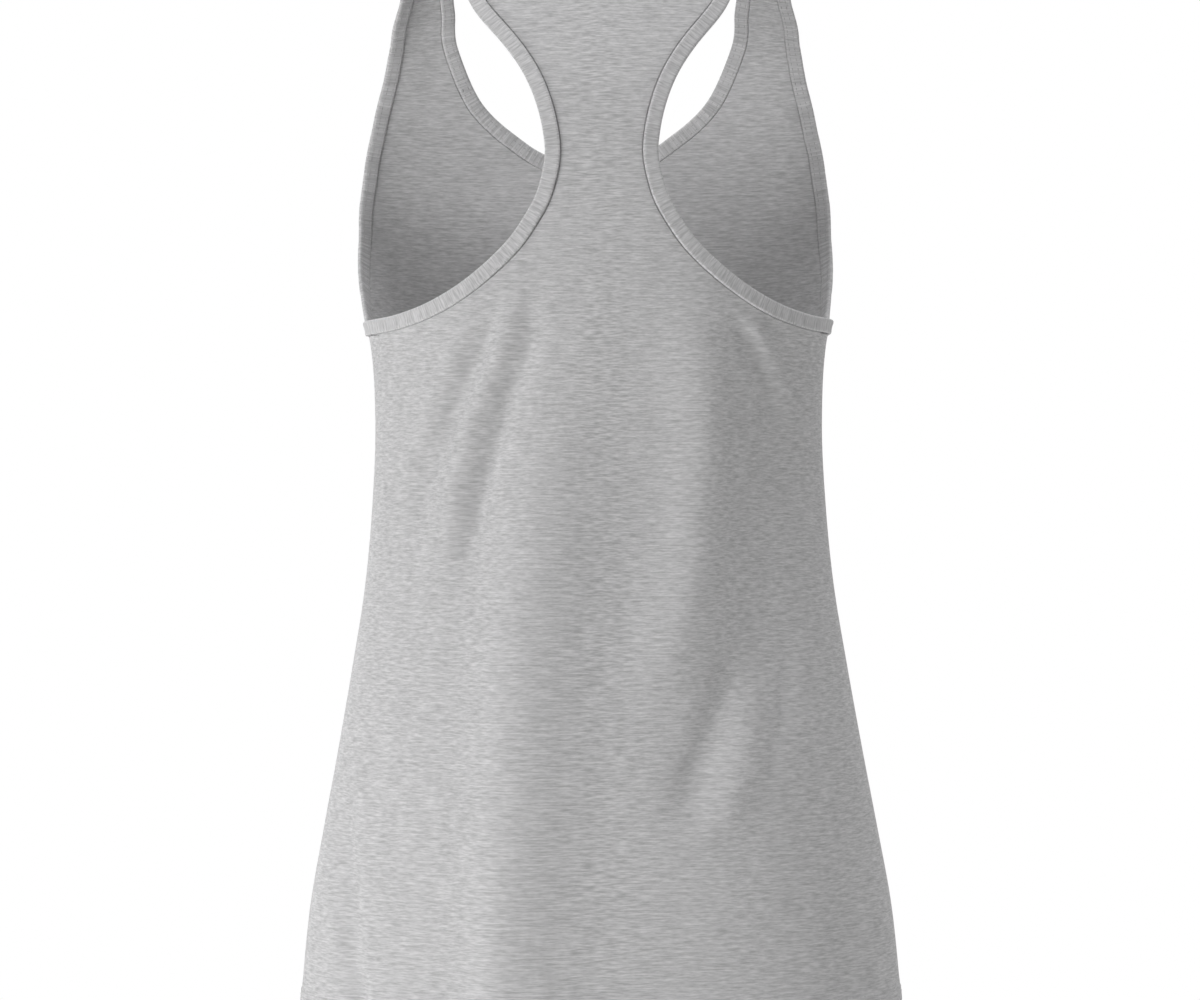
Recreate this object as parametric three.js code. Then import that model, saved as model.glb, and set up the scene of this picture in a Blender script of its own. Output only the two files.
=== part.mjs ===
// Racerback tank top in light jersey, filled out as if worn, with nobody in it.
//
// Millimetres, +Z up. The front of the garment faces -Y and the wearer's left is +X.
// The origin is midway between the tops of the two shoulder straps, where a wearer's
// shoulders hold the garment. The hem hangs about 660 mm below it.
//
// The cloth lies on one smooth hollow form. A place on the form has two coordinates:
//   turn  degrees round a level section: 0 centre front, 90 side seam, 180 centre back
//   rise  distance up the form from the line where the cloth starts to turn over the
//         shoulder; it is negative below that line
import * as THREE from 'three';
import { mergeVertices } from 'three/addons/utils/BufferGeometryUtils.js';

// Driving dimensions.
const CLOTH = 1.2;
const SEAM_GAP = 0.3;
const BINDING_WIDTH = 9;
const HEM_Z = -659;
const HEM_DEPTH = 12;
const HEM_STEP = 0.4;
const HEM_EXTRA = 0.6;
const TURN_OVER_Z = -40;
const TURN_OVER_RUN = 75;
const STRAP_EDGE_X = 120;
const SHOULDER_DROP = 9;
const ROUNDNESS = 2.3;
const CHEST_FULLNESS = 22;

// How finely the cloth is divided.
const COLUMNS = 10;
const BODY_ROWS = 14;
const ARMHOLE_STEPS = 22;
const FRONT_NECK_STEPS = 14;
const BACK_NECK_STEPS = 6;

// Level sections of the form: half its width, and how far it reaches to front and back.
const SECTIONS = [
  { z: -660, halfWidth: 186.0, front: 124, back: 118 },
  { z: -600, halfWidth: 180.0, front: 123, back: 117 },
  { z: -550, halfWidth: 171.2, front: 121, back: 114 },
  { z: -500, halfWidth: 161.8, front: 119, back: 109 },
  { z: -450, halfWidth: 153.0, front: 115, back: 101 },
  { z: -400, halfWidth: 145.0, front: 113, back: 94 },
  { z: -350, halfWidth: 140.3, front: 115, back: 91 },
  { z: -300, halfWidth: 138.3, front: 120, back: 95 },
  { z: -250, halfWidth: 141.3, front: 123, back: 103 },
  { z: -224, halfWidth: 150.0, front: 121, back: 106 },
  { z: -184, halfWidth: 161.0, front: 113, back: 107 },
  { z: -133, halfWidth: 167.5, front: 100, back: 103 },
  { z: -107, halfWidth: 165.0, front: 91, back: 99 },
  { z: -82, halfWidth: 157.0, front: 81, back: 90 },
  { z: -58, halfWidth: 148.0, front: 70, back: 78 },
  { z: -34, halfWidth: 135.0, front: 60, back: 66 },
  { z: 0, halfWidth: 130.0, front: 52, back: 56 },
];

// Finished edges of the openings, each from its lowest point up to the strap's top.
const ARMHOLE_FRONT = [
  { turn: 90, z: -237.5 },
  { turn: 84.9, z: -236.6 },
  { turn: 79.2, z: -232 },
  { turn: 67.6, z: -210 },
  { turn: 56.5, z: -184 },
  { turn: 50.7, z: -158 },
  { turn: 47.8, z: -133 },
  { turn: 46, z: -107 },
  { turn: 47.2, z: -82 },
  { turn: 51.6, z: -58 },
  { turn: 60.6, z: -34 },
  { turn: 66, z: 0 },
];
const ARMHOLE_BACK = [
  { turn: 90.0, z: -237.5 },
  { turn: 109.0, z: -237.3 },
  { turn: 122.6, z: -235.8 },
  { turn: 135.2, z: -230.8 },
  { turn: 145.3, z: -222.5 },
  { turn: 154.2, z: -210.3 },
  { turn: 161.9, z: -194.1 },
  { turn: 166.1, z: -179.4 },
  { turn: 169.2, z: -162.9 },
  { turn: 170.8, z: -136.6 },
  { turn: 168.0, z: -102.7 },
  { turn: 161.5, z: -75.8 },
  { turn: 149.1, z: -45.4 },
  { turn: 132.0, z: -12 },
  { turn: 114.2, z: 0 },
];
const NECK_FRONT = [
  { turn: 0, z: -133 },
  { turn: 4.3, z: -130.2 },
  { turn: 8.9, z: -122.9 },
  { turn: 11.5, z: -116.8 },
  { turn: 16.4, z: -104.6 },
  { turn: 20.5, z: -92.6 },
  { turn: 26.9, z: -68.6 },
  { turn: 33.3, z: -45 },
  { turn: 37.2, z: -24 },
  { turn: 39.7, z: 0 },
];
const NECK_BACK = [
  { turn: 180, z: -26 },
  { turn: 171.3, z: -24.9 },
  { turn: 161.1, z: -20.7 },
  { turn: 151.7, z: -12.6 },
  { turn: 144.3, z: -3.5 },
  { turn: 140.3, z: 0 },
];

// The largest folds. A path runs down through [x, z] points seen from in front or behind,
// reach is the half width towards the wearer's left and right, and rise is how far the
// middle stands out (+) or sinks in (-).
const BACK_FOLDS = [
  { path: [[19, -215], [28, -290], [39, -380], [46, -430], [52, -510], [56, -620], [57, -860]], reach: [22, 31], rise: 11 },
  { path: [[20, -250], [30, -330], [45, -430], [54, -560], [56, -860]], reach: [52, 80], rise: 6 },
  { path: [[-54, -205], [-56, -253], [-59, -300], [-55, -348], [-50, -396], [-41, -430], [-28, -490]], reach: [18, 26], rise: 7 },
  { path: [[-98, -236], [-104, -300], [-105, -400], [-104, -455], [-96, -520]], reach: [30, 22], rise: -6 },
  { path: [[-84, -430], [-70, -480], [-56, -515], [-44, -550]], reach: [13, 15], rise: -5 },
  { path: [[42, -206], [45, -253], [61, -300], [73, -348], [83, -400]], reach: [8, 10], rise: -3.5 },
  { path: [[62, -220], [71, -250], [93, -300], [109, -348], [114, -380]], reach: [9, 9], rise: -3.5 },
];
const FRONT_FOLDS = [
  { path: [[-20, -250], [-26, -380], [-18, -470], [-24, -800]], reach: [34, 26], rise: -6 },
  { path: [[52, -226], [60, -350], [48, -450], [56, -800]], reach: [22, 24], rise: -5 },
  { path: [[16, -256], [22, -400], [12, -620]], reach: [20, 20], rise: 4 },
  { path: [[-62, -226], [-70, -350], [-60, -470], [-72, -800]], reach: [26, 18], rise: 8 },
  { path: [[-116, -258], [-98, -330], [-88, -420]], reach: [12, 11], rise: -3.5 },
  { path: [[116, -250], [102, -320], [96, -400]], reach: [11, 12], rise: -3.2 },
  { path: [[92, -380], [100, -470], [90, -560], [98, -800]], reach: [16, 22], rise: 6 },
];

const RADIANS = Math.PI / 180;
const FRONT_CENTRE = 0;
const BACK_CENTRE = 180;
const SIDE = 90;

const mix = (a, b, share) => a + (b - a) * share;
const smooth = (share) => {
  const t = Math.min(Math.max(share, 0), 1);
  return t * t * (3 - 2 * t);
};

// A smooth curve through a table's values of one column against growing positions.
function through(positions, values, at) {
  const last = positions.length - 1;
  const x = Math.min(Math.max(at, positions[0]), positions[last]);
  let i = 0;
  while (i < last - 1 && x > positions[i + 1]) {
    i += 1;
  }
  const slope = (k) => {
    const a = Math.max(k - 1, 0);
    const b = Math.min(k + 1, last);
    return (values[b] - values[a]) / (positions[b] - positions[a]);
  };
  const step = positions[i + 1] - positions[i];
  const t = (x - positions[i]) / step;
  const t2 = t * t;
  const t3 = t2 * t;
  return (2 * t3 - 3 * t2 + 1) * values[i] + (t3 - 2 * t2 + t) * step * slope(i)
    + (3 * t2 - 2 * t3) * values[i + 1] + (t3 - t2) * step * slope(i + 1);
}

const sectionHeights = SECTIONS.map((row) => row.z);
const sectionAt = (column, z) => through(sectionHeights, SECTIONS.map((row) => row[column]), z);

const riseOf = (z) => (z < TURN_OVER_Z
  ? z - TURN_OVER_Z
  : TURN_OVER_RUN * Math.asin(1 - z / TURN_OVER_Z) / (90 * RADIANS));

// How far the folds push the cloth out at a place seen at x, z.
function foldRise(folds, x, z) {
  let total = 0;
  for (const { path, reach, rise } of folds) {
    const upwards = [...path].reverse();
    const heights = upwards.map(([, height]) => height);
    const [foot, top] = [heights[0], heights.at(-1)];
    const middle = through(heights, upwards.map(([across]) => across), Math.min(Math.max(z, foot), top));
    const lean = (path[0][0] - path.at(-1)[0]) / (top - foot);
    const side = (x - middle) / Math.hypot(1, lean);
    const share = side / (side > 0 ? reach[0] : reach[1]);
    const along = (z - foot) / (top - foot);
    const ends = smooth(along * 3.5) * smooth((1 - along) * 3.5);
    total += rise * ends * Math.exp(-(share ** 2));
  }
  return total;
}

// The point on the form at a place, on the wearer's left (side 1) or right (side -1).
function formPoint(side, turn, rise) {
  const lean = Math.max(rise, 0) / TURN_OVER_RUN * 90 * RADIANS;
  const height = rise < 0 ? TURN_OVER_Z + rise : TURN_OVER_Z * (1 - Math.sin(lean));
  const reach = sectionAt(turn < SIDE ? 'front' : 'back', height) * Math.cos(lean);
  const angle = turn * RADIANS;
  const power = 2 / ROUNDNESS;
  const across = Math.sign(Math.sin(angle)) * Math.abs(Math.sin(angle)) ** power;
  const ahead = Math.sign(Math.cos(angle)) * Math.abs(Math.cos(angle)) ** power;
  const fullness = turn < SIDE ? CHEST_FULLNESS * smooth((height + 240) / 90) * smooth(-height / 110) : 0;
  const x = side * (sectionAt('halfWidth', height) + fullness) * across;
  const y = -reach * ahead;
  const out = foldRise(turn < SIDE ? FRONT_FOLDS : BACK_FOLDS, x, height);
  const radius = Math.max(Math.hypot(x, y), 1);
  const drop = SHOULDER_DROP * (Math.abs(x) / STRAP_EDGE_X) ** 4 * smooth((rise + 60) / 100);
  return new THREE.Vector3(x + out * x / radius, y + out * y / radius, height - drop);
}

// The two directions along the form at a place, and the normal that points outwards.
function formFrame(side, turn, rise) {
  const d = 0.05;
  const alongTurn = formPoint(side, turn + d, rise).sub(formPoint(side, turn - d, rise)).divideScalar(2 * d);
  const alongRise = formPoint(side, turn, rise + d).sub(formPoint(side, turn, rise - d)).divideScalar(2 * d);
  const normal = new THREE.Vector3().crossVectors(alongTurn, alongRise).multiplyScalar(side).normalize();
  return { alongTurn, alongRise, normal };
}

// A place pushed off the form along its normal; a seam's normal stays in the seam's plane.
function offForm(side, place, out) {
  const { normal } = formFrame(side, place.turn, place.rise);
  if (place.turn === FRONT_CENTRE || place.turn === BACK_CENTRE) {
    normal.x = 0;
  }
  if (place.turn === SIDE || place.rise === TURN_OVER_RUN) {
    normal.y = 0;
  }
  return formPoint(side, place.turn, place.rise).addScaledVector(normal.normalize(), out);
}

// Evenly spaced places along a finished edge.
function edgePlaces(table, steps) {
  const rows = table.map((row) => ({ turn: row.turn, rise: riseOf(row.z) }));
  const lengths = [0];
  for (let i = 1; i < rows.length; i += 1) {
    const from = formPoint(1, rows[i - 1].turn, rows[i - 1].rise);
    const to = formPoint(1, rows[i].turn, rows[i].rise);
    lengths.push(lengths[i - 1] + from.distanceTo(to));
  }
  const places = [];
  for (let k = 0; k <= steps; k += 1) {
    const at = lengths[rows.length - 1] * k / steps;
    places.push({
      turn: through(lengths, rows.map((row) => row.turn), at),
      rise: through(lengths, rows.map((row) => row.rise), at),
    });
  }
  return places;
}

// Places moved across an edge into the cloth. The first moves straight down and the
// last moves level along the strap's top.
function insetPlaces(places, distance) {
  const last = places.length - 1;
  // An edge that sets out with growing turn has its cloth on the crossed direction's far side.
  const towardsCloth = places[1].turn > places[0].turn ? -1 : 1;
  return places.map((place, k) => {
    const before = places[Math.max(k - 1, 0)];
    const after = places[Math.min(k + 1, last)];
    const { alongTurn, alongRise, normal } = formFrame(1, place.turn, place.rise);
    const edgeTurn = k === last ? 0 : after.turn - before.turn;
    const edgeRise = k === 0 ? 0 : after.rise - before.rise;
    const along = alongTurn.clone().multiplyScalar(edgeTurn).addScaledVector(alongRise, edgeRise);
    const inward = new THREE.Vector3().crossVectors(normal, along).normalize()
      .multiplyScalar(towardsCloth);
    const tt = alongTurn.dot(alongTurn);
    const rr = alongRise.dot(alongRise);
    const tr = alongTurn.dot(alongRise);
    const it = inward.dot(alongTurn);
    const ir = inward.dot(alongRise);
    const size = tt * rr - tr * tr;
    return {
      turn: k === 0 ? place.turn : place.turn + distance * (it * rr - ir * tr) / size,
      rise: k === last ? place.rise : place.rise + distance * (ir * tt - it * tr) / size,
    };
  });
}

// Rows of a panel, each from its inner place (centre line, then neckline) to its outer
// place (side seam, then armhole).
function panelRows(centre, armholeSeam, neckSeam) {
  const centreSteps = armholeSeam.length - neckSeam.length;
  const underarm = armholeSeam[0].rise;
  const hem = HEM_Z - TURN_OVER_Z;
  const level = (rise) => ({ inner: { turn: centre, rise }, outer: { turn: SIDE, rise } });
  const rows = [level(hem), level(hem + HEM_DEPTH)];
  const start = hem + HEM_DEPTH + HEM_STEP;
  for (let j = 0; j < BODY_ROWS; j += 1) {
    rows.push(level(mix(start, underarm, j / BODY_ROWS)));
  }
  const lift = neckSeam[0].rise - armholeSeam[centreSteps].rise;
  armholeSeam.forEach((outer, k) => {
    const onCentre = { turn: centre, rise: outer.rise + lift * smooth(k / centreSteps) };
    rows.push({ inner: k < centreSteps ? onCentre : neckSeam[k - centreSteps], outer });
  });
  return { rows, neckRow: rows.length - neckSeam.length };
}

// Turns a list of triangles into a closed mesh with its faces outwards.
function closedGeometry(corners) {
  const geometry = new THREE.BufferGeometry().setFromPoints(corners);
  const merged = mergeVertices(geometry, 1e-4);
  const position = merged.getAttribute('position');
  const index = merged.getIndex().array;
  const [a, b, c] = [0, 1, 2].map(() => new THREE.Vector3());
  let volume = 0;
  for (let i = 0; i < index.length; i += 3) {
    a.fromBufferAttribute(position, index[i]);
    b.fromBufferAttribute(position, index[i + 1]);
    c.fromBufferAttribute(position, index[i + 2]);
    volume += a.dot(b.cross(c));
  }
  if (volume < 0) {
    for (let i = 0; i < index.length; i += 3) {
      [index[i], index[i + 1]] = [index[i + 1], index[i]];
    }
  }
  merged.computeVertexNormals();
  return merged;
}

const addQuad = (corners, a, b, c, d) => corners.push(a, b, c, a, c, d);

// A panel: a wall of cloth over both halves of the form, thicker where the hem is turned up.
function panelGeometry(centre, { rows, neckRow }) {
  const corners = [];
  const seamSide = centre === FRONT_CENTRE ? -SEAM_GAP / 2 : SEAM_GAP / 2;
  for (const side of [1, -1]) {
    const faces = [0, 1].map((inside) => rows.map(({ inner, outer }, j) => {
      const extra = j < 2 ? HEM_EXTRA : 0;
      const out = inside ? -CLOTH - extra : extra;
      return Array.from({ length: COLUMNS + 1 }, (_, i) => {
        const share = i / COLUMNS;
        const place = { turn: mix(inner.turn, outer.turn, share), rise: mix(inner.rise, outer.rise, share) };
        const point = offForm(side, place, out);
        point.y += seamSide;
        return point;
      });
    }));
    const [o, n] = faces;
    const quad = (a, b, c, d) => (side > 0 ? addQuad(corners, a, b, c, d) : addQuad(corners, c, b, a, d));
    const top = rows.length - 1;
    for (let j = 0; j < top; j += 1) {
      for (let i = 0; i < COLUMNS; i += 1) {
        quad(o[j][i], o[j][i + 1], o[j + 1][i + 1], o[j + 1][i]);
        quad(n[j][i], n[j + 1][i], n[j + 1][i + 1], n[j][i + 1]);
      }
      quad(o[j][COLUMNS], n[j][COLUMNS], n[j + 1][COLUMNS], o[j + 1][COLUMNS]);
      if (j >= neckRow) {
        quad(o[j][0], o[j + 1][0], n[j + 1][0], n[j][0]);
      }
    }
    for (let i = 0; i < COLUMNS; i += 1) {
      quad(o[0][i], n[0][i], n[0][i + 1], o[0][i + 1]);
      quad(o[top][i], o[top][i + 1], n[top][i + 1], n[top][i]);
    }
  }
  return closedGeometry(corners);
}

// The binding's section, from the seam (share 0) to the finished edge (share 1).
const BINDING_SECTION = [
  { share: 0, out: 0.6 },
  { share: 0.55, out: 0.8 },
  { share: 1, out: 0.2 },
  { share: 1, out: -1.4 },
  { share: 0.55, out: -2.0 },
  { share: 0, out: -1.8 },
];

// A binding: a folded band all round an opening.
function bindingGeometry(stations) {
  const rings = stations.map(({ side, edge, seam }) => BINDING_SECTION.map(({ share, out }) => {
    const place = { turn: mix(seam.turn, edge.turn, share), rise: mix(seam.rise, edge.rise, share) };
    return offForm(side, place, out);
  }));
  const corners = [];
  rings.forEach((ring, k) => {
    const next = rings[(k + 1) % rings.length];
    ring.forEach((point, i) => {
      const j = (i + 1) % ring.length;
      addQuad(corners, point, ring[j], next[j], next[i]);
    });
  });
  return closedGeometry(corners);
}

const stationsOf = (side, edges) => edges.map((edge, k) => ({
  side,
  edge,
  seam: insetPlaces(edges, BINDING_WIDTH)[k],
}));

const armholeFront = edgePlaces(ARMHOLE_FRONT, ARMHOLE_STEPS);
const armholeBack = edgePlaces(ARMHOLE_BACK, ARMHOLE_STEPS);
const neckFront = edgePlaces(NECK_FRONT, FRONT_NECK_STEPS);
const neckBack = edgePlaces(NECK_BACK, BACK_NECK_STEPS);

// Up the front edge and down the back edge; the strap's top and the start count once.
const armholeStations = (side) => [
  ...stationsOf(side, armholeFront),
  ...stationsOf(side, armholeBack).slice(1, -1).reverse(),
];
const neckHalf = (side) => [
  ...stationsOf(side, neckFront),
  ...stationsOf(side, neckBack).slice(0, -1).reverse(),
];
const neckStations = [...neckHalf(1), ...neckHalf(-1).reverse().slice(1, -1)];

const heather = (colour) => new THREE.MeshStandardMaterial({ color: colour, roughness: 0.95, metalness: 0 });

const garment = new THREE.Group();

function addPiece(name, geometry, colour) {
  const mesh = new THREE.Mesh(geometry, heather(colour));
  mesh.name = name;
  garment.add(mesh);
}

const toCloth = BINDING_WIDTH + SEAM_GAP;
const frontRows = panelRows(FRONT_CENTRE, insetPlaces(armholeFront, toCloth), insetPlaces(neckFront, toCloth));
const backRows = panelRows(BACK_CENTRE, insetPlaces(armholeBack, toCloth), insetPlaces(neckBack, toCloth));

addPiece('front', panelGeometry(FRONT_CENTRE, frontRows), 0xb9b9ba);
addPiece('back', panelGeometry(BACK_CENTRE, backRows), 0xb9b9ba);
addPiece('neck_binding', bindingGeometry(neckStations), 0xc2c2c3);
addPiece('armhole_binding_left', bindingGeometry(armholeStations(1)), 0xc2c2c3);
addPiece('armhole_binding_right', bindingGeometry(armholeStations(-1)), 0xc2c2c3);

export default garment;
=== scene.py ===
"""Racerback tank top in heather grey jersey, filled out as if worn, with nobody in it.

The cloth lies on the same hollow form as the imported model. Sizes are in millimetres and
are turned to metres as each mesh is finished. A place on the form has two coordinates:
turn, the degrees round a level section (0 centre front, 90 side seam, 180 centre back),
and rise, the distance up the form from the line where the cloth turns over the shoulder.
"""
import math

import bmesh
import bpy
import numpy as np
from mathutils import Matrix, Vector


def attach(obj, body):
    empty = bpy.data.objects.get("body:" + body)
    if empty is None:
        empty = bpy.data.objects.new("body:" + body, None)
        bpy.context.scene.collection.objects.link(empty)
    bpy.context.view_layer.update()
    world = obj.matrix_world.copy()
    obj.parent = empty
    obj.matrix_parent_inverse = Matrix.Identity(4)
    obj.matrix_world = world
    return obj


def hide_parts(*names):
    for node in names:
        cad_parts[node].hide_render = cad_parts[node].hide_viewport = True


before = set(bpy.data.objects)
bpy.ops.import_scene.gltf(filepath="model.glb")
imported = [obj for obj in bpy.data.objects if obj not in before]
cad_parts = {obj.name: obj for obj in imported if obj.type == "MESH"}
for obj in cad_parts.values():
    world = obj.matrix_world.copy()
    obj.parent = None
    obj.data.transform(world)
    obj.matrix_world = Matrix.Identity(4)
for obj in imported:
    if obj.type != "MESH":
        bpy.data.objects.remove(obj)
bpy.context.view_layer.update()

MM = 0.001
# What counts as on a seam's plane, and the step that measures the form's slope.
TINY = 1e-6
NUDGE = 0.05

# ---------------------------------------------------------------- the garment's own sizes
CLOTH = 0.8
# Between the two panels at their seams, and between a panel and a band.
SEAM_GAP = 0.3
SEAM_GROOVE = 0.5
BINDING_WIDTH = 9.0
HEM_Z = -659.0
HEM_DEPTH = 12.0
TURN_OVER_Z = -40.0
TURN_OVER_RUN = 75.0
STRAP_EDGE_X = 120.0
# The straps' outer edges sit lower, from just below the turn-over on.
SHOULDER_DROP = 9.0
DROP_START = -60.0
DROP_RUN = 100.0
ROUNDNESS = 2.3
# The chest is fuller than the back: by how much, where that starts, and the heights over
# which it grows from the underarm and dies away again at the shoulder.
CHEST_FULLNESS = 22.0
FULLNESS_START_Z = -240.0
FULLNESS_GROWTH = 90.0
FULLNESS_FADE = 110.0
SIDE = 90.0
CENTRE = {"front": 0.0, "back": 180.0}

# A fold fades in and out over the first and last 1/FOLD_FADE of its path, and near the
# side seam over SEAM_CALM degrees.
FOLD_FADE = 3.5
SEAM_CALM = 14.0

# How finely the cloth is divided.
COLUMNS = 72
BODY_ROWS = 108
ARMHOLE_STEPS = 88
NECK_STEPS = {"front": 56, "back": 24}

# Level sections of the form: half its width, and how far it reaches to front and back.
SECTIONS = {
    "z": (-660, -600, -550, -500, -450, -400, -350, -300, -250, -224, -184, -133, -107, -82, -58, -34, 0),
    "half_width": (
        186, 180, 171.2, 161.8, 153, 145, 140.3, 138.3, 141.3, 150, 161, 167.5, 165, 157, 148, 135, 130,
    ),
    "front": (124, 123, 121, 119, 115, 113, 115, 120, 123, 121, 113, 100, 91, 81, 70, 60, 52),
    "back": (118, 117, 114, 109, 101, 94, 91, 95, 103, 106, 107, 103, 99, 90, 78, 66, 56),
}

# Finished edges of the openings as (turn, z), from the lowest point up to the strap's top.
ARMHOLE = {
    "front": (
        (90.0, -237.5), (84.9, -236.6), (79.2, -232), (67.6, -210), (56.5, -184), (50.7, -158),
        (47.8, -133), (46.0, -107), (47.2, -82), (51.6, -58), (60.6, -34), (66.0, 0),
    ),
    "back": (
        (90.0, -237.5), (109.0, -237.3), (122.6, -235.8), (135.2, -230.8), (145.3, -222.5),
        (154.2, -210.3), (161.9, -194.1), (166.1, -179.4), (169.2, -162.9), (170.8, -136.6),
        (168.0, -102.7), (161.5, -75.8), (149.1, -45.4), (132.0, -12), (114.2, 0),
    ),
}
NECK = {
    "front": (
        (0, -133), (1.3, -132.7), (4.3, -130.3), (8.6, -123.4), (12.0, -115.4), (16.4, -104.6),
        (20.5, -92.6), (26.9, -68.6), (33.5, -45), (38.4, -24), (39.7, 0),
    ),
    "back": ((180, -26), (171.3, -24.9), (161.1, -20.7), (151.7, -12.6), (144.3, -3.5), (140.3, 0)),
}

# Folds, placed one by one. Each path runs down the cloth through (x, z) points as seen from
# in front or behind. Reach is the fold's half width, towards the wearer's left and right,
# and rise is how far its middle stands out (+) or sinks in (-).
FOLDS = {
    "back": (
        # The long ridge left of centre, steep towards the side seam and slack towards the centre.
        {
            "path": (
                (19, -215), (22, -253), (28, -290), (34, -330), (39, -380), (46, -430), (52, -510),
                (56, -620), (57, -860),
            ),
            "reach": (22, 31), "rise": 11,
        },
        {
            "path": ((20, -250), (30, -330), (45, -430), (54, -560), (56, -860)),
            "reach": (52, 80), "rise": 6,
        },
        # The shorter one right of centre, the hollow beside it, and where the two die out.
        {
            "path": (
                (-54, -205), (-56, -253), (-59, -300), (-55, -348), (-50, -396), (-41, -430),
                (-28, -490),
            ),
            "reach": (18, 26), "rise": 7,
        },
        {
            "path": ((-98, -236), (-104, -300), (-105, -400), (-104, -455), (-96, -520)),
            "reach": (30, 22), "rise": -6,
        },
        {"path": ((-84, -430), (-70, -480), (-56, -515), (-44, -550)), "reach": (13, 15), "rise": -5},
        {"path": ((-90, -440), (-84, -490), (-74, -525), (-66, -560)), "reach": (11, 14), "rise": 3.2},
        # Short sharp creases on the right flank.
        {"path": ((-118, -432), (-113, -462), (-107, -500)), "reach": (4, 4), "rise": -1.8},
        {"path": ((-106, -486), (-103, -503), (-99, -520)), "reach": (4, 3), "rise": -1.2},
        # Drag lines that run down from the left armhole, ridge and trough in turn.
        {
            "path": ((42, -206), (45, -253), (54, -277), (61, -300), (67, -324), (73, -348), (83, -405)),
            "reach": (7, 9), "rise": -4.8,
        },
        {
            "path": ((52, -214), (58, -253), (67, -277), (76, -300), (82, -324), (88, -348), (94, -405)),
            "reach": (8, 7), "rise": 4.5,
        },
        {
            "path": (
                (62, -220), (71, -250), (83, -277), (93, -300), (103, -324), (109, -348), (114, -380),
            ),
            "reach": (8, 8), "rise": -5,
        },
        {
            "path": ((70, -226), (82, -253), (96, -277), (106, -300), (113, -325)),
            "reach": (8, 7), "rise": 2.2,
        },
        # Shorter ones from the right armhole.
        {"path": ((-80, -236), (-88, -255), (-98, -278), (-110, -305)), "reach": (7, 6), "rise": -3},
        {"path": ((-86, -232), (-96, -252), (-106, -272), (-121, -305)), "reach": (6, 6), "rise": 3},
        {"path": ((-78, -250), (-86, -270), (-94, -295)), "reach": (5, 6), "rise": 1.2},
        # A tuck under the left arm, and a soft flange near the hem on each flank.
        {"path": ((133, -242), (137, -252), (139, -270)), "reach": (3, 3), "rise": -1.2},
        {
            "path": ((160, -500), (158, -555), (155, -595), (152, -630), (145, -690)),
            "reach": (6, 8), "rise": -5,
        },
        {"path": ((-150, -500), (-154, -560), (-150, -620), (-146, -690)), "reach": (12, 12), "rise": -2},
    ),
    "front": (
        {"path": ((-20, -250), (-26, -380), (-18, -470), (-24, -800)), "reach": (34, 26), "rise": -6},
        {"path": ((52, -226), (60, -350), (48, -450), (56, -800)), "reach": (22, 24), "rise": -5},
        {"path": ((16, -256), (22, -400), (12, -620)), "reach": (20, 20), "rise": 4},
        {"path": ((-62, -226), (-70, -350), (-60, -470), (-72, -800)), "reach": (26, 18), "rise": 8},
        {"path": ((-116, -258), (-98, -330), (-88, -420)), "reach": (10, 9), "rise": -4.2},
        {"path": ((-104, -240), (-86, -310), (-78, -380)), "reach": (8, 8), "rise": 3},
        {"path": ((116, -250), (102, -320), (96, -400)), "reach": (9, 10), "rise": -3.8},
        {"path": ((92, -380), (100, -470), (90, -560), (98, -800)), "reach": (16, 22), "rise": 6},
        {"path": ((-120, -450), (-112, -540), (-120, -800)), "reach": (11, 12), "rise": -4},
        {"path": ((104, -232), (94, -262), (82, -290)), "reach": (6, 6), "rise": -1.6},
        {"path": ((-98, -222), (-88, -254), (-74, -286)), "reach": (6, 6), "rise": -1.5},
    ),
}


# ------------------------------------------------------------------------------ the form
def smooth(share):
    t = np.clip(share, 0, 1)
    return t * t * (3 - 2 * t)


def through(positions, values, at):
    """A smooth curve through values against growing positions, at one or many places."""
    positions = np.asarray(positions, float)
    values = np.asarray(values, float)
    at = np.clip(at, positions[0], positions[-1])
    slopes = np.empty_like(values)
    slopes[1:-1] = (values[2:] - values[:-2]) / (positions[2:] - positions[:-2])
    slopes[0] = (values[1] - values[0]) / (positions[1] - positions[0])
    slopes[-1] = (values[-1] - values[-2]) / (positions[-1] - positions[-2])
    i = np.clip(np.searchsorted(positions, at, side="right") - 1, 0, len(positions) - 2)
    step = positions[i + 1] - positions[i]
    t = (at - positions[i]) / step
    return (
        (2 * t**3 - 3 * t**2 + 1) * values[i]
        + (t**3 - 2 * t**2 + t) * step * slopes[i]
        + (3 * t**2 - 2 * t**3) * values[i + 1]
        + (t**3 - t**2) * step * slopes[i + 1]
    )


def rise_of(z):
    if z < TURN_OVER_Z:
        return z - TURN_OVER_Z
    return TURN_OVER_RUN * math.asin(1 - z / TURN_OVER_Z) / (math.pi / 2)


def fold_rise(folds, x, z):
    """How far the folds push the cloth out at places seen at x, z."""
    total = np.zeros_like(x)
    for fold in folds:
        path = np.array(fold["path"], float)[::-1]
        centre = through(path[:, 1], path[:, 0], z)
        lean = (path[-1, 0] - path[0, 0]) / (path[-1, 1] - path[0, 1])
        left, right = fold["reach"]
        across = (x - centre) / math.hypot(1, lean)
        across = across / np.where(across > 0, left, right)
        along = (z - path[0, 1]) / (path[-1, 1] - path[0, 1])
        ends = smooth(along * FOLD_FADE) * smooth((1 - along) * FOLD_FADE)
        total += fold["rise"] * ends * np.exp(-across**2)
    return total


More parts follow.
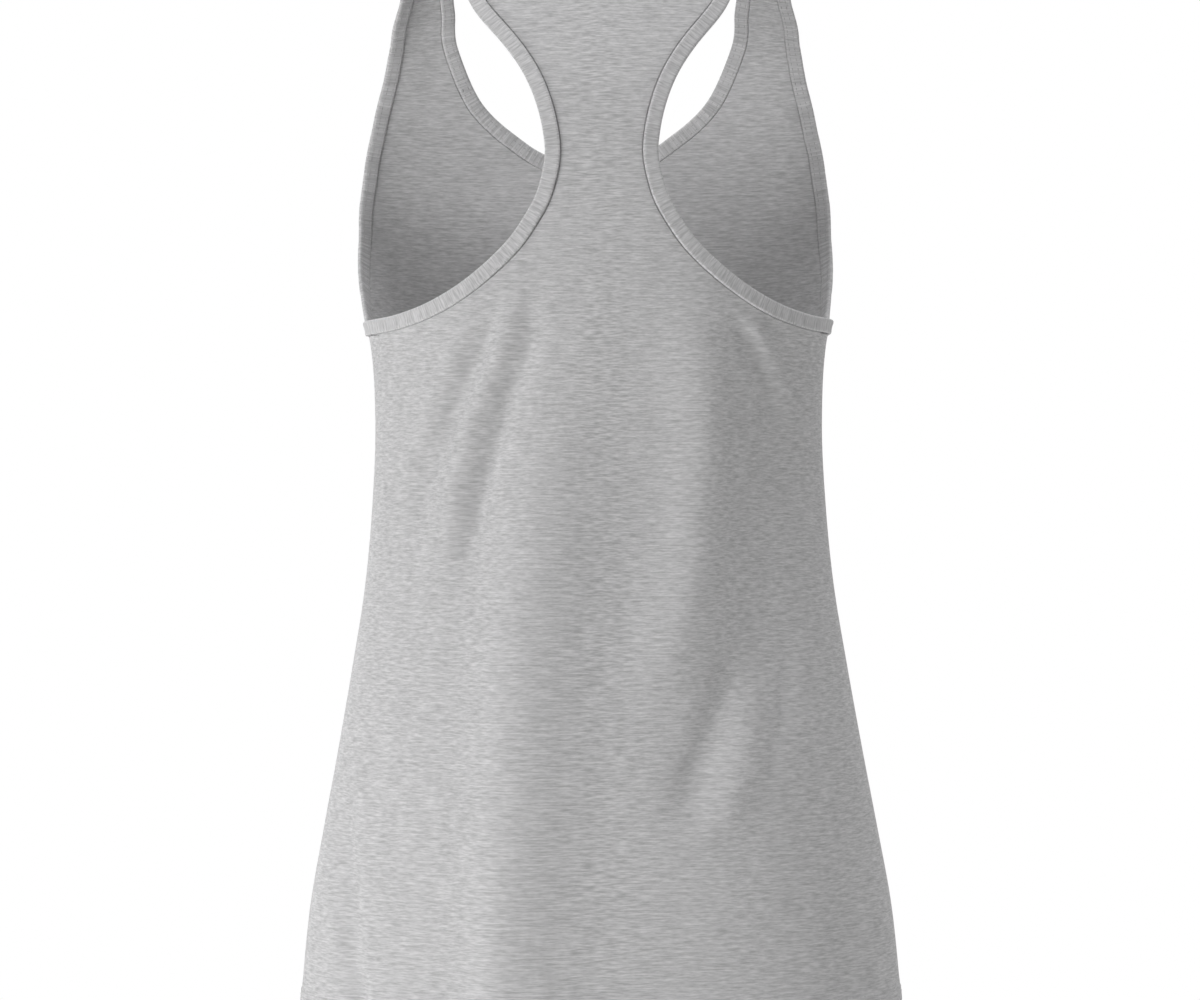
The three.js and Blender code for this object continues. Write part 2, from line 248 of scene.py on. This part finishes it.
def form_point(side, turn, rise):
    """Points on the form, on the wearer's left (side 1) or right (side -1)."""
    side, turn, rise = np.broadcast_arrays(*(np.asarray(a, float) for a in (side, turn, rise)))
    lean = np.maximum(rise, 0) / TURN_OVER_RUN * (math.pi / 2)
    z = np.where(rise < 0, TURN_OVER_Z + rise, TURN_OVER_Z * (1 - np.sin(lean)))
    in_front = turn < SIDE
    heights = SECTIONS["z"]
    to_front = through(heights, SECTIONS["front"], z)
    to_back = through(heights, SECTIONS["back"], z)
    reach = np.where(in_front, to_front, to_back)
    angle = np.radians(turn)
    power = 2 / ROUNDNESS
    across = np.sign(np.sin(angle)) * np.abs(np.sin(angle)) ** power
    ahead = np.sign(np.cos(angle)) * np.abs(np.cos(angle)) ** power
    grown = smooth((z - FULLNESS_START_Z) / FULLNESS_GROWTH) * smooth(-z / FULLNESS_FADE)
    fullness = np.where(in_front, CHEST_FULLNESS * grown, 0)
    x = side * (through(heights, SECTIONS["half_width"], z) + fullness) * across
    y = -reach * np.cos(lean) * ahead
    out = np.where(in_front, fold_rise(FOLDS["front"], x, z), fold_rise(FOLDS["back"], x, z))
    # Front and back folds both die away at the side seam, so the seam stays one line.
    out = out * smooth(np.abs(turn - SIDE) / SEAM_CALM)
    radius = np.maximum(np.hypot(x, y), 1)
    drop = SHOULDER_DROP * (np.abs(x) / STRAP_EDGE_X) ** 4 * smooth((rise - DROP_START) / DROP_RUN)
    return np.stack([x + out * x / radius, y + out * y / radius, z - drop], axis=-1)


def form_frame(side, turn, rise):
    """The two directions along the form, and the normal that points outwards."""
    d = NUDGE
    along_turn = (form_point(side, turn + d, rise) - form_point(side, turn - d, rise)) / (2 * d)
    along_rise = (form_point(side, turn, rise + d) - form_point(side, turn, rise - d)) / (2 * d)
    normal = np.cross(along_turn, along_rise) * np.asarray(side, float)[..., None]
    return along_turn, along_rise, normal / np.linalg.norm(normal, axis=-1, keepdims=True)


def off_form(side, turn, rise, out):
    """Points pushed off the form; at a seam they stay in the seam's own plane."""
    side, turn, rise, out = np.broadcast_arrays(*(np.asarray(a, float) for a in (side, turn, rise, out)))
    _, _, normal = form_frame(side, turn, rise)
    normal = normal.copy()
    on_centre = (turn < TINY) | (turn > 180 - TINY)
    on_seam = (np.abs(turn - SIDE) < TINY) | (np.abs(rise - TURN_OVER_RUN) < TINY)
    normal[on_centre, 0] = 0
    normal[on_seam, 1] = 0
    normal /= np.linalg.norm(normal, axis=-1, keepdims=True)
    return form_point(side, turn, rise) + normal * out[..., None]


def edge_places(table, steps):
    """Evenly spaced (turn, rise) places along a finished edge."""
    turns = np.array([row[0] for row in table], float)
    rises = np.array([rise_of(row[1]) for row in table])
    chords = np.linalg.norm(np.diff(form_point(1, turns, rises), axis=0), axis=1)
    lengths = np.concatenate([[0], np.cumsum(chords)])
    at = lengths[-1] * np.arange(steps + 1) / steps
    return np.stack([through(lengths, turns, at), through(lengths, rises, at)], axis=-1)


def inset_places(places, distance):
    """Places moved across an edge into the cloth: the first straight down, the last level."""
    turn, rise = places[:, 0], places[:, 1]
    along_turn, along_rise, normal = form_frame(np.ones_like(turn), turn, rise)
    step = np.gradient(places, axis=0)
    step[0, 1] = 0
    step[-1, 0] = 0
    along = along_turn * step[:, :1] + along_rise * step[:, 1:]
    inward = np.cross(normal, along)
    inward /= np.linalg.norm(inward, axis=1, keepdims=True)
    if turn[1] > turn[0]:
        inward = -inward
    # The inward step is split into its shares along turn and along rise.
    turn_turn = np.sum(along_turn * along_turn, axis=1)
    rise_rise = np.sum(along_rise * along_rise, axis=1)
    turn_rise = np.sum(along_turn * along_rise, axis=1)
    in_turn = np.sum(inward * along_turn, axis=1)
    in_rise = np.sum(inward * along_rise, axis=1)
    size = turn_turn * rise_rise - turn_rise * turn_rise
    moved_turn = turn + distance * (in_turn * rise_rise - in_rise * turn_rise) / size
    moved_rise = rise + distance * (in_rise * turn_turn - in_turn * turn_rise) / size
    moved_turn[0] = turn[0]
    moved_rise[-1] = rise[-1]
    return np.stack([moved_turn, moved_rise], axis=-1)


# --------------------------------------------------------------------------- mesh helpers
def new_piece(name, bm, smooth_shading=True):
    """A finished bmesh as an object at the origin, its millimetres turned to metres."""
    bmesh.ops.scale(bm, vec=Vector((MM, MM, MM)), verts=bm.verts)
    mesh = bpy.data.meshes.new(name)
    bm.to_mesh(mesh)
    bm.free()
    mesh.polygons.foreach_set("use_smooth", [smooth_shading] * len(mesh.polygons))
    piece = bpy.data.objects.new(name, mesh)
    bpy.context.scene.collection.objects.link(piece)
    return piece


def grid_into(bm, columns, rows):
    """A flat grid; returns its vertices with the column and row of each."""
    made = bmesh.ops.create_grid(bm, x_segments=columns, y_segments=rows, size=1.0)["verts"]
    column = np.array([round((v.co.x + 1) / 2 * columns) for v in made])
    row = np.array([round((v.co.y + 1) / 2 * rows) for v in made])
    return made, column, row


def set_uv(bm, faces, uv_of):
    layer = bm.loops.layers.uv.get("UVMap") or bm.loops.layers.uv.new("UVMap")
    for face in faces:
        for loop in face.loops:
            loop[layer].uv = uv_of[loop.vert]


# ------------------------------------------------------------------------------ the panels
# The hem's turn-up, from its raw edge inside, round the fold and up the outside:
# height above the hem's fold, and distance off the form.
HEM_TURN = (
    (HEM_DEPTH + 1.5, -2.0), (HEM_DEPTH - 1, -1.9), (8, -1.9), (4, -1.9), (1.1, -1.9), (0.3, -1.5),
    (0.0, -0.9), (0.25, -0.2), (0.9, 0.25), (3, 0.55), (6, 0.6), (9, 0.55), (HEM_DEPTH - 1.2, 0.35),
    (HEM_DEPTH, 0.0), (HEM_DEPTH + 1.2, 0.15), (HEM_DEPTH + 3, 0.05),
)


# The knit's columns are spaced as the distance round the body is at this level.
GIRTH_TURNS = np.array([0, 0.5, 1.5, 3, 6, 10, 15, 22, 30, 40, 50, 60, 70, 80, 90], float)
GIRTH_RISE = -250.0


def panel_rows(panel):
    """Each row's inner and outer place and its distance off the form."""
    centre = CENTRE[panel]
    armhole = inset_places(edge_places(ARMHOLE[panel], ARMHOLE_STEPS), BINDING_WIDTH + SEAM_GROOVE)
    neck = inset_places(edge_places(NECK[panel], NECK_STEPS[panel]), BINDING_WIDTH + SEAM_GROOVE)
    centre_steps = ARMHOLE_STEPS - NECK_STEPS[panel]
    hem = HEM_Z - TURN_OVER_Z
    rows = [((centre, hem + up), (SIDE, hem + up), out) for up, out in HEM_TURN]
    start = hem + HEM_TURN[-1][0]
    underarm = armhole[0, 1]
    for j in range(1, BODY_ROWS):
        level = start + (underarm - start) * j / BODY_ROWS
        rows.append(((centre, level), (SIDE, level), 0.0))
    lift = neck[0, 1] - armhole[centre_steps, 1]
    for k, outer in enumerate(armhole):
        if k < centre_steps:
            inner = (centre, outer[1] + lift * float(smooth(k / centre_steps)))
        else:
            inner = tuple(neck[k - centre_steps])
        rows.append((inner, tuple(outer), 0.0))
    return rows


def make_panel(panel):
    """One panel of jersey: two halves on the form, joined down the centre line."""
    rows = panel_rows(panel)
    inner = np.array([row[0] for row in rows])
    outer = np.array([row[1] for row in rows])
    off = np.array([row[2] for row in rows])
    turns = np.abs(CENTRE[panel] - GIRTH_TURNS)
    level = form_point(1, turns, np.full(len(turns), GIRTH_RISE))
    girth = np.concatenate([[0], np.cumsum(np.linalg.norm(np.diff(level, axis=0), axis=1))])
    bm = bmesh.new()
    for side in (1, -1):
        before = len(bm.faces)
        made, column, row = grid_into(bm, COLUMNS, len(rows) - 1)
        share = (column / COLUMNS)[:, None]
        place = inner[row] + (outer[row] - inner[row]) * share
        points = off_form(side, place[:, 0], place[:, 1], off[row])
        points[:, 1] += -SEAM_GAP / 2 if panel == "front" else SEAM_GAP / 2
        # Width round the body and height up it, in metres, for the knit's own direction.
        round_body = side * through(GIRTH_TURNS, girth, np.abs(place[:, 0] - CENTRE[panel])) * MM
        uv_of = {}
        for v, point, around, up in zip(made, points, round_body, place[:, 1]):
            v.co = point
            uv_of[v] = (around, up * MM)
        bm.faces.ensure_lookup_table()
        faces = bm.faces[before:]
        set_uv(bm, faces, uv_of)
        if side * (1 if panel == "front" else -1) < 0:
            bmesh.ops.reverse_faces(bm, faces=faces)
    bmesh.ops.remove_doubles(bm, verts=bm.verts, dist=0.001)
    piece = new_piece("jersey_" + panel, bm)
    wall = piece.modifiers.new("cloth", "SOLIDIFY")
    wall.thickness = CLOTH * MM
    wall.offset = -1
    wall.use_even_offset = False
    return piece


# -------------------------------------------------------------------- the seam allowances
# Distances across the seam, towards the back, and off the form at each.
ALLOWANCE = (-2.0, -0.6, 1.0, 3.0, 5.0)
ALLOWANCE_OUT = (-1.05, -0.9, -0.9, -0.95, -1.15)
# The overlocked edge ripples a little from station to station.
RIPPLE = 0.12
RIPPLE_PITCH = 1.9
SEAM_STATIONS = 90
STATION_STEP = 4.5
# How far, in degrees, the shoulder's strip stops short of each band's finished edge.
SHORT_OF_BAND = 5.5


def allowance_strip(bm, side, turns, rises, spread_turn):
    """One overlocked strip inside a seam; it spreads across the seam by turn or by rise."""
    made, column, row = grid_into(bm, len(ALLOWANCE) - 1, SEAM_STATIONS)
    turn, rise = turns[row], rises[row]
    along_turn, along_rise, _ = form_frame(np.full(len(turn), side), turn, rise)
    across = np.array(ALLOWANCE)[column]
    if spread_turn:
        turn = turn + across / np.linalg.norm(along_turn, axis=-1)
    else:
        rise = rise - across / np.linalg.norm(along_rise, axis=-1)
    out = np.array(ALLOWANCE_OUT)[column] + RIPPLE * np.sin(row * RIPPLE_PITCH)
    points = off_form(side, turn, rise, out)
    uv_of = {}
    for v, point, c, r in zip(made, points, across, row):
        v.co = point
        uv_of[v] = (c * MM, r * STATION_STEP * MM)
    set_uv(bm, {face for v in made for face in v.link_faces}, uv_of)


def make_allowances():
    """The seam allowances inside the side and shoulder seams, overlocked together."""
    bm = bmesh.new()
    share = np.linspace(0, 1, SEAM_STATIONS + 1)
    underarm = rise_of(ARMHOLE["front"][0][1]) - BINDING_WIDTH
    foot = HEM_Z - TURN_OVER_Z + HEM_DEPTH + 2
    neck_end = NECK["front"][-1][0] + SHORT_OF_BAND
    arm_end = ARMHOLE["front"][-1][0] - SHORT_OF_BAND
    for side in (1, -1):
        allowance_strip(bm, side, np.full(len(share), SIDE), foot + (underarm - foot) * share, True)
        turns = neck_end + (arm_end - neck_end) * share
        allowance_strip(bm, side, turns, np.full(len(share), TURN_OVER_RUN), False)
    bmesh.ops.recalc_face_normals(bm, faces=bm.faces)
    piece = new_piece("seam_allowances", bm)
    wall = piece.modifiers.new("cloth", "SOLIDIFY")
    wall.thickness = CLOTH * MM
    wall.offset = 0
    return piece


# ---------------------------------------------------------------------------- the bindings
# The folded band's section, from the seam (share 0) round the finished edge (share 1) and
# back inside, as (share of its width, distance off the form). It stands a millimetre and
# more proud of the panel, with a soft ridge beside the seam and rounded edges.
BINDING_SECTION = (
    (0.00, -0.30), (0.00, 0.7), (0.015, 1.3), (0.06, 1.7), (0.14, 1.85), (0.26, 1.7), (0.42, 1.4),
    (0.62, 1.25), (0.82, 1.25), (0.93, 1.0), (0.99, 0.45), (1.00, -0.3), (0.99, -1.0), (0.93, -1.5),
    (0.80, -1.7), (0.50, -1.6), (0.15, -1.75), (0.04, -1.6), (0.00, -1.2), (0.00, -0.50),
    # The lip sewn to the panel's edge, at the bottom of the seam's groove.
    (-0.09, -0.48), (-0.09, -0.32),
)


# The band swells and tightens where it was stretched on to the curve: how much, how many
# times round the opening, and from where.
SWELLS = ((0.07, 23, 0.0), (0.06, 41, 1.3), (0.05, 67, 0.4))
# The mean distance between the section's points.
SECTION_STEP = 1.2


def opening_loop(halves):
    """Stations all round an opening: side, finished-edge place and seam place of each."""
    side, edge, seam = [], [], []
    for sign, places, keep in halves:
        inset = inset_places(places, BINDING_WIDTH)
        side.append(np.full(len(places[keep]), sign))
        edge.append(places[keep])
        seam.append(inset[keep])
    return np.concatenate(side), np.concatenate(edge), np.concatenate(seam)


def armhole_loop(side):
    up = edge_places(ARMHOLE["front"], ARMHOLE_STEPS)
    down = edge_places(ARMHOLE["back"], ARMHOLE_STEPS)
    return opening_loop(((side, up, slice(None)), (side, down, slice(-2, 0, -1))))


def neck_loop():
    up = edge_places(NECK["front"], NECK_STEPS["front"])
    down = edge_places(NECK["back"], NECK_STEPS["back"])
    return opening_loop((
        (1, up, slice(None)), (1, down, slice(-2, None, -1)),
        (-1, down, slice(1, -1)), (-1, up, slice(None, 0, -1)),
    ))


def make_binding(name, loop):
    """A band of jersey folded over an opening's edge, all round it."""
    side, edge, seam = loop
    stations = len(side)
    section = np.array(BINDING_SECTION)
    bm = bmesh.new()
    made, column, row = grid_into(bm, len(section), stations)
    k = row % stations
    share = section[column % len(section), 0][:, None]
    place = seam[k] + (edge[k] - seam[k]) * share
    along = np.arange(stations) / stations * 2 * math.pi
    swell = sum(height * np.sin(along * times + start) for height, times, start in SWELLS)
    out = section[column % len(section), 1]
    out = out + swell[k] * np.sign(out)
    points = off_form(side[k], place[:, 0], place[:, 1], out)
    centre_line = form_point(side, edge[:, 0], edge[:, 1])
    chords = np.linalg.norm(np.roll(centre_line, -1, axis=0) - centre_line, axis=1)
    lengths = np.concatenate([[0], np.cumsum(chords)]) * MM
    # The band is cut up the knit, so the knit's courses run across it.
    uv_of = {}
    for v, point, c, r in zip(made, points, column, row):
        v.co = point
        uv_of[v] = (c * SECTION_STEP * MM, lengths[r])
    set_uv(bm, bm.faces, uv_of)
    bmesh.ops.remove_doubles(bm, verts=bm.verts, dist=0.0005)
    bmesh.ops.recalc_face_normals(bm, faces=bm.faces)
    return new_piece(name, bm)


# ---------------------------------------------------------------------------- the stitches
# Each is a short raised bead of thread: half its length, width and height.
STITCH = (1.15, 0.24, 0.2)
STITCH_PITCH = 3.1
# The twin needle's two rows, above the hem's fold, and how far off the form they lie.
HEM_ROWS = ((7.2, 0.62), (10.2, 0.48))
# The cover stitch's two rows inside a band, as shares of its width from the seam.
BAND_ROWS = (0.24, 0.66)
BAND_ROW_OUT = -1.72
# Places measured along half the hem before the stitches are spaced.
HEM_STEPS = 720


def hem_row(up, out):
    """Stitch middles and directions along one row, all round the hem."""
    rise = HEM_Z - TURN_OVER_Z + up
    turns = np.linspace(0, 180, HEM_STEPS + 1)
    middles, alongs, ups = [], [], []
    for side in (1, -1):
        line = off_form(side, turns, rise, out)
        lengths = np.concatenate([[0], np.cumsum(np.linalg.norm(np.diff(line, axis=0), axis=1))])
        at = np.arange(STITCH_PITCH / 2, lengths[-1], STITCH_PITCH)
        turn = np.interp(at, lengths, turns)
        along, _, normal = form_frame(np.full(len(turn), side), turn, np.full(len(turn), rise))
        middles.append(off_form(side, turn, rise, out))
        alongs.append(along)
        ups.append(normal)
    return np.concatenate(middles), np.concatenate(alongs), np.concatenate(ups)


def band_row(loop, share):
    """The same along one row inside a band."""
    side, edge, seam = loop
    place = seam + (edge - seam) * share
    middle = off_form(side, place[:, 0], place[:, 1], BAND_ROW_OUT)
    along = np.roll(middle, -1, axis=0) - np.roll(middle, 1, axis=0)
    _, _, normal = form_frame(side, place[:, 0], place[:, 1])
    return middle, along, -normal


def make_stitches(name, rows):
    """Rows of stitches as one joined mesh, each a copy of one small bead."""
    bead = bmesh.new()
    bmesh.ops.create_icosphere(bead, subdivisions=1, radius=1.0)
    bead.verts.ensure_lookup_table()
    shape = np.array([v.co for v in bead.verts]) * np.array(STITCH)
    faces = np.array([[v.index for v in face.verts] for face in bead.faces])
    bead.free()
    middle, along, up = (np.concatenate(parts) for parts in zip(*rows))
    along = along / np.linalg.norm(along, axis=1, keepdims=True)
    across = np.cross(up, along)
    across /= np.linalg.norm(across, axis=1, keepdims=True)
    up = np.cross(along, across)
    turned = np.einsum("va,nax->nvx", shape, np.stack([along, across, up], axis=1))
    points = (middle[:, None, :] + turned).reshape(-1, 3) * MM
    joined = (faces[None] + len(shape) * np.arange(len(middle))[:, None, None]).reshape(-1, 3)
    mesh = bpy.data.meshes.new(name)
    mesh.from_pydata(points.tolist(), [], joined.tolist())
    mesh.polygons.foreach_set("use_smooth", [True] * len(mesh.polygons))
    piece = bpy.data.objects.new(name, mesh)
    bpy.context.scene.collection.objects.link(piece)
    return piece


# ------------------------------------------------------------------------------- materials
def linear(hex_colour):
    """An sRGB hex colour as linear red, green, blue and alpha."""
    channels = [int(hex_colour[i:i + 2], 16) / 255 for i in (1, 3, 5)]
    return [c / 12.92 if c <= 0.04045 else ((c + 0.055) / 1.055) ** 2.4 for c in channels] + [1.0]


def add(tree, kind, settings=None, **inputs):
    """Adds a node; an input is a plain value or another node's output socket.

    An input is given by its name, with _ for a space, or as i and its number.
    """
    node = tree.nodes.new(kind)
    for name, value in (settings or {}).items():
        setattr(node, name, value)
    for name, value in inputs.items():
        place = int(name[1:]) if name[1:].isdigit() else name.replace("_", " ")
        socket = node.inputs[place]
        if isinstance(value, bpy.types.NodeSocket):
            tree.links.new(value, socket)
        else:
            socket.default_value = value
    return node


# A streak's height, how much longer the long streaks are, and a cloudy patch's size.
STREAK_HEIGHT = 0.85
LONG_STREAK = 2.3
CLOUD_LENGTH = 26.0
CLOUD_HEIGHT = 17.0
# How much of the pattern is long streaks rather than short, and cloudy patches.
LONG_SHARE = 0.38
CLOUD_SHARE = 0.16


def heather_jersey(name, dark, light, streak_mm, roughness, fibre_contrast):
    """Heather grey single jersey, knitted from mixed light and dark fibres.

    To the eye it is matt, with fine streaks along the courses, a few cloudy patches a
    finger wide, and a faint bloom of loose fibres at grazing angles. The real courses
    are 0.6 mm apart, too fine to show, so the streaks stand for groups of them.
    """
    material = bpy.data.materials.new(name)
    material.use_nodes = True
    tree = material.node_tree
    tree.nodes.clear()
    uv = add(tree, "ShaderNodeUVMap", {"uv_map": "UVMap"}).outputs["UV"]

    def streaks(length_mm, height_mm, detail, rough):
        """Noise drawn out along the course: one streak is about length by height."""
        stretched = add(
            tree, "ShaderNodeMapping", Vector=uv, Scale=(1000 / length_mm, 1000 / height_mm, 1.0),
        )
        return add(
            tree, "ShaderNodeTexNoise", {"noise_dimensions": "2D"},
            Vector=stretched.outputs["Vector"], Scale=1.0, Detail=detail, Roughness=rough,
        ).outputs["Fac"]

    fine = streaks(streak_mm, STREAK_HEIGHT, 2.0, 0.6)
    long = streaks(streak_mm * LONG_STREAK, STREAK_HEIGHT * 2, 1.0, 0.5)
    cloud = streaks(CLOUD_LENGTH, CLOUD_HEIGHT, 2.0, 0.55)
    yarn = add(
        tree, "ShaderNodeMix", {"data_type": "FLOAT"}, Factor=LONG_SHARE, A=fine, B=long,
    ).outputs["Result"]
    spread = add(
        tree, "ShaderNodeMapRange", Value=yarn,
        From_Min=0.5 - 0.5 / fibre_contrast, From_Max=0.5 + 0.5 / fibre_contrast,
    ).outputs["Result"]
    mottled = add(
        tree, "ShaderNodeMix", {"data_type": "FLOAT"}, Factor=CLOUD_SHARE, A=spread, B=cloud,
    ).outputs["Result"]
    colour = add(
        tree, "ShaderNodeMix", {"data_type": "RGBA"},
        Factor=mottled, i6=linear(dark), i7=linear(light),
    ).outputs[2]
    bump = add(tree, "ShaderNodeBump", Strength=0.12, Distance=0.0002, Height=yarn)
    shader = add(
        tree, "ShaderNodeBsdfPrincipled", Base_Color=colour, Roughness=roughness, IOR=1.45,
        Specular_IOR_Level=0.25, Sheen_Weight=0.08, Sheen_Roughness=0.6, Normal=bump.outputs["Normal"],
    )
    add(tree, "ShaderNodeOutputMaterial", Surface=shader.outputs["BSDF"])
    return material


def sewing_thread():
    """Spun polyester thread in the jersey's own grey: matt, with a faint twist along it."""
    material = bpy.data.materials.new("spun_polyester_thread")
    material.use_nodes = True
    tree = material.node_tree
    tree.nodes.clear()
    place = add(tree, "ShaderNodeTexCoord").outputs["Object"]
    # The plies turn about once a millimetre, so light and dark change at that spacing.
    twist = add(tree, "ShaderNodeTexNoise", Vector=place, Scale=1000.0, Detail=2.0).outputs["Fac"]
    colour = add(
        tree, "ShaderNodeMix", {"data_type": "RGBA"},
        Factor=twist, i6=linear("#a2a2a3"), i7=linear("#cfcecf"),
    ).outputs[2]
    bump = add(tree, "ShaderNodeBump", Strength=0.3, Distance=0.0001, Height=twist)
    shader = add(
        tree, "ShaderNodeBsdfPrincipled", Base_Color=colour, Roughness=0.75, IOR=1.5,
        Specular_IOR_Level=0.3, Normal=bump.outputs["Normal"],
    )
    add(tree, "ShaderNodeOutputMaterial", Surface=shader.outputs["BSDF"])
    return material


def studio_floor():
    """Matt white painted board: a pale even floor that throws soft light up."""
    material = bpy.data.materials.new("matt_white_board")
    material.use_nodes = True
    tree = material.node_tree
    tree.nodes.clear()
    place = add(tree, "ShaderNodeTexCoord").outputs["Object"]
    grain = add(tree, "ShaderNodeTexNoise", Vector=place, Scale=40.0, Detail=3.0).outputs["Fac"]
    bump = add(tree, "ShaderNodeBump", Strength=0.05, Distance=0.001, Height=grain)
    shader = add(
        tree, "ShaderNodeBsdfPrincipled", Base_Color=linear("#f2f2f0"), Roughness=0.8,
        Normal=bump.outputs["Normal"],
    )
    add(tree, "ShaderNodeOutputMaterial", Surface=shader.outputs["BSDF"])
    return material


# ------------------------------------------------------------------------------ the studio
CAMERA_HEIGHT = -348.0
CAMERA_DISTANCE = 2600.0
CAMERA_SWING = math.radians(1.4)
CAMERA_ROLL = math.radians(0.25)
CAMERA_SIDE = -0.6
VIEW_WIDTH = 744.0
SENSOR = 36.0
FLOOR_Z = -1600.0
FLOOR_RADIUS = 2200.0
FLOOR_EDGES = 96
# Light from all round, and how bright the backdrop itself is seen.
ROOM_LIGHT = 0.1
BACKDROP = 1.0
# Where the lights aim, in metres.
AIM = Vector((0, 0, -0.35))
# Each light's name, turn from behind towards the wearer's left, lift above level, distance
# and size in metres, and power in watts.
LIGHTS = (
    ("low_left", 60, -17, 2.3, 0.8, 19),
    ("side_left", 50, 2, 2.4, 1.0, 17),
    ("right", -60, 0, 2.6, 1.4, 16),
    ("overhead", 0, 87, 4.2, 3.2, 138),
    ("front_left", 150, 15, 2.6, 1.4, 26),
    ("front_right", -150, -8, 2.6, 1.4, 12),
    ("front_low", 180, -42, 1.2, 0.5, 3),
)


def set_camera():
    """Level with the middle of the garment, behind it, a little to one side and not quite upright."""
    data = bpy.data.cameras.new("camera")
    data.sensor_width = SENSOR
    data.lens = SENSOR * CAMERA_DISTANCE / VIEW_WIDTH
    camera = bpy.data.objects.new("camera", data)
    spot = Vector((math.sin(CAMERA_SWING), math.cos(CAMERA_SWING), 0)) * CAMERA_DISTANCE
    camera.location = (spot + Vector((CAMERA_SIDE, 0, CAMERA_HEIGHT))) * MM
    camera.rotation_euler = (math.radians(90), CAMERA_ROLL, math.radians(180) - CAMERA_SWING)
    bpy.context.scene.collection.objects.link(camera)
    bpy.context.scene.camera = camera


def add_light(name, turn, lift, distance, size, power):
    """A soft round light, aimed at the middle of the garment."""
    turn = math.radians(turn)
    lift = math.radians(lift)
    level = math.cos(lift)
    away = Vector((math.sin(turn) * level, math.cos(turn) * level, math.sin(lift)))
    data = bpy.data.lights.new(name, "AREA")
    data.shape = "DISK"
    data.size = size
    data.energy = power
    light = bpy.data.objects.new(name, data)
    light.location = AIM + away * distance
    light.rotation_euler = away.to_track_quat("Z", "Y").to_euler()
    light.visible_camera = False
    bpy.context.scene.collection.objects.link(light)


def white_room():
    """Weak even light from all round, in front of a plain white backdrop."""
    world = bpy.data.worlds.new("white_room")
    world.use_nodes = True
    tree = world.node_tree
    tree.nodes.clear()
    lit = add(tree, "ShaderNodeBackground", Color=linear("#ffffff"), Strength=ROOM_LIGHT)
    seen = add(tree, "ShaderNodeBackground", Color=linear("#ffffff"), Strength=BACKDROP)
    ray = add(tree, "ShaderNodeLightPath")
    both = add(
        tree, "ShaderNodeMixShader", Fac=ray.outputs["Is Camera Ray"],
        i1=lit.outputs["Background"], i2=seen.outputs["Background"],
    )
    add(tree, "ShaderNodeOutputWorld", Surface=both.outputs["Shader"])
    return world


def set_lights():
    """Soft lights all round and overhead: the main ones stand low on the wearer's left."""
    for light in LIGHTS:
        add_light(*light)
    bpy.context.scene.world = white_room()
    bpy.context.scene.view_settings.view_transform = "Standard"


def make_floor():
    bm = bmesh.new()
    bmesh.ops.create_circle(bm, cap_ends=True, segments=FLOOR_EDGES, radius=FLOOR_RADIUS)
    bmesh.ops.translate(bm, verts=bm.verts, vec=Vector((0, 0, FLOOR_Z)))
    floor = new_piece("studio_floor", bm, smooth_shading=False)
    floor.data.materials.append(studio_floor())


# ------------------------------------------------------------------------- make everything
set_camera()
set_lights()
make_floor()

jersey = heather_jersey("heather_single_jersey", "#a8a8a9", "#dcdbdc", 5.2, 0.92, 2.4)
band = heather_jersey("heather_jersey_binding", "#aaaaab", "#dddcdd", 5.0, 0.92, 2.2)
thread = sewing_thread()

for panel in ("front", "back"):
    piece = make_panel(panel)
    piece.data.materials.append(jersey)
    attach(piece, "root")
    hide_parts(panel)

loops = {"neck": neck_loop(), "left": armhole_loop(1), "right": armhole_loop(-1)}
bands = (
    ("neck_band", "neck_binding", "neck"),
    ("armhole_band_left", "armhole_binding_left", "left"),
    ("armhole_band_right", "armhole_binding_right", "right"),
)
for name, node, opening in bands:
    piece = make_binding(name, loops[opening])
    piece.data.materials.append(band)
    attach(piece, "root")
    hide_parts(node)

allowances = make_allowances()
allowances.data.materials.append(jersey)
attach(allowances, "root")

rows_of = {
    "hem_stitches": [hem_row(up, out) for up, out in HEM_ROWS],
    "band_stitches": [band_row(loop, share) for loop in loops.values() for share in BAND_ROWS],
}
for name, rows in rows_of.items():
    piece = make_stitches(name, rows)
    piece.data.materials.append(thread)
    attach(piece, "root")
